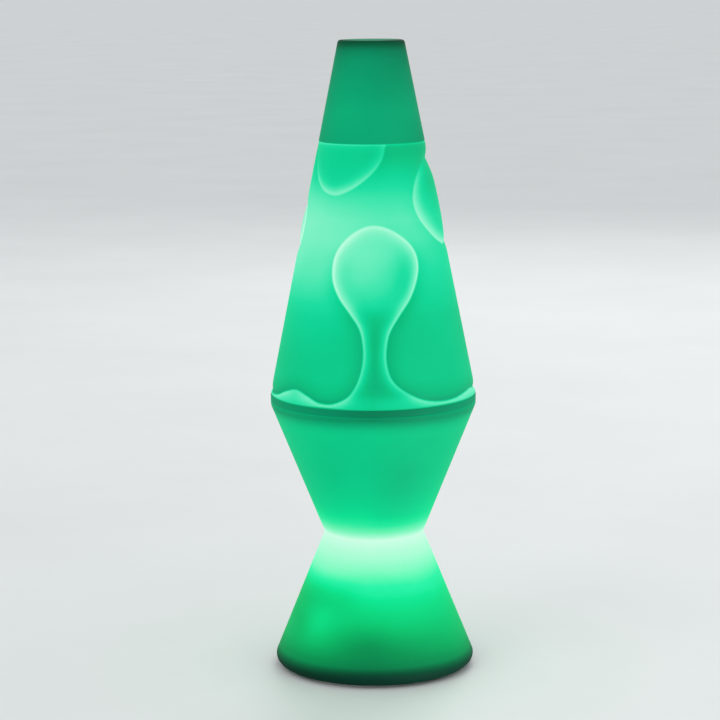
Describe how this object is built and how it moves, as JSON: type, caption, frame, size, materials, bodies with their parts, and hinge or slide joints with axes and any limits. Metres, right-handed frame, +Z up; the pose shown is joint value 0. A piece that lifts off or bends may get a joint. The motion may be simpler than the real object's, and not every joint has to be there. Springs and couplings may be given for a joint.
{
  "type": "lava lamp mood light",
  "caption": "Battery-powered mood light shaped as a lava lamp: moulded translucent cap, globe with raised wax shapes and hourglass base, lit green from inside.",
  "frame": {"origin": "centre of the plane that the rubber feet stand on", "axes": "+Z up along the lamp's axis, -Y is the front shown in the picture, +X is the side with the controls underneath"},
  "size_m": [0.0816, 0.0816, 0.25],
  "materials": {
    "cap_shell": "satin translucent, glowing",
    "globe_shell": "satin translucent, glowing",
    "base_shell": "satin translucent, glowing",
    "chassis_plastic": "moulded matt",
    "foot_rubber": "matt",
    "screw_steel": "zinc plated",
    "spring_steel": "nickel plated",
    "cell_jacket": "printed film, plain",
    "board_white": "white solder mask",
    "board_green": "green solder mask",
    "light_resin": "clear milky resin, lit",
    "package_white": "white package, lit",
    "lead_tin": "tinned",
    "chip_black": "moulded epoxy",
    "part_ceramic": "ceramic",
    "capacitor_sleeve": "shrink sleeve",
    "switch_metal": "stamped can",
    "switch_black": "moulded",
    "control_grey": "moulded matt",
    "wire_red": "soft insulation",
    "wire_black": "soft insulation",
    "wire_yellow": "soft insulation",
    "wire_blue": "soft insulation",
    "wire_white": "soft insulation"
  },
  "bodies": {
    "lamp": {"cap": "cap_shell", "globe": "globe_shell", "base_cup": "base_shell", "base_foot": "base_shell", "chassis": "chassis_plastic", "rubber_feet": "foot_rubber", "chassis_screws": "screw_steel", "battery_1": "cell_jacket", "battery_2": "cell_jacket", "battery_3": "cell_jacket", "contact_positive": "spring_steel", "contact_negative": "spring_steel", "contact_link_front": "spring_steel", "contact_link_rear": "spring_steel", "contact_springs": "spring_steel", "led_board": "board_white", "center_led": "light_resin", "center_led_leads": "lead_tin", "side_leds": "package_white", "controller_chip": "chip_black", "resistors": "part_ceramic", "capacitor": "capacitor_sleeve", "board_screws": "screw_steel", "control_board": "board_green", "control_board_screws": "screw_steel", "slide_switch": "switch_metal", "tact_switch": "switch_metal", "wire_red": "wire_red", "wire_black": "wire_black", "control_wire_1": "wire_yellow", "control_wire_2": "wire_blue", "control_wire_3": "wire_white"},
    "battery_door": {"battery_door": "chassis_plastic"},
    "power_slider": {"power_slider": "control_grey", "switch_lever": "switch_black"},
    "color_button": {"color_button": "control_grey", "tact_plunger": "switch_black"}
  },
  "joints": [
    {"name": "battery_door_hinge", "type": "hinge", "parent": "lamp", "child": "battery_door", "pos_m": [0, -0.0274, 0.00335], "axis": [-1, 0, 0], "range_deg": [0, 95]},
    {"name": "power_slide", "type": "slide", "parent": "lamp", "child": "power_slider", "axis": [0, -1, 0], "range_m": [0, 0.004]},
    {"name": "color_button_press", "type": "slide", "parent": "lamp", "child": "color_button", "axis": [0, 0, 1], "range_m": [0, 0.0005], "stiffness_N_per_m": 900, "springref_m": -0.0008}
  ]
}
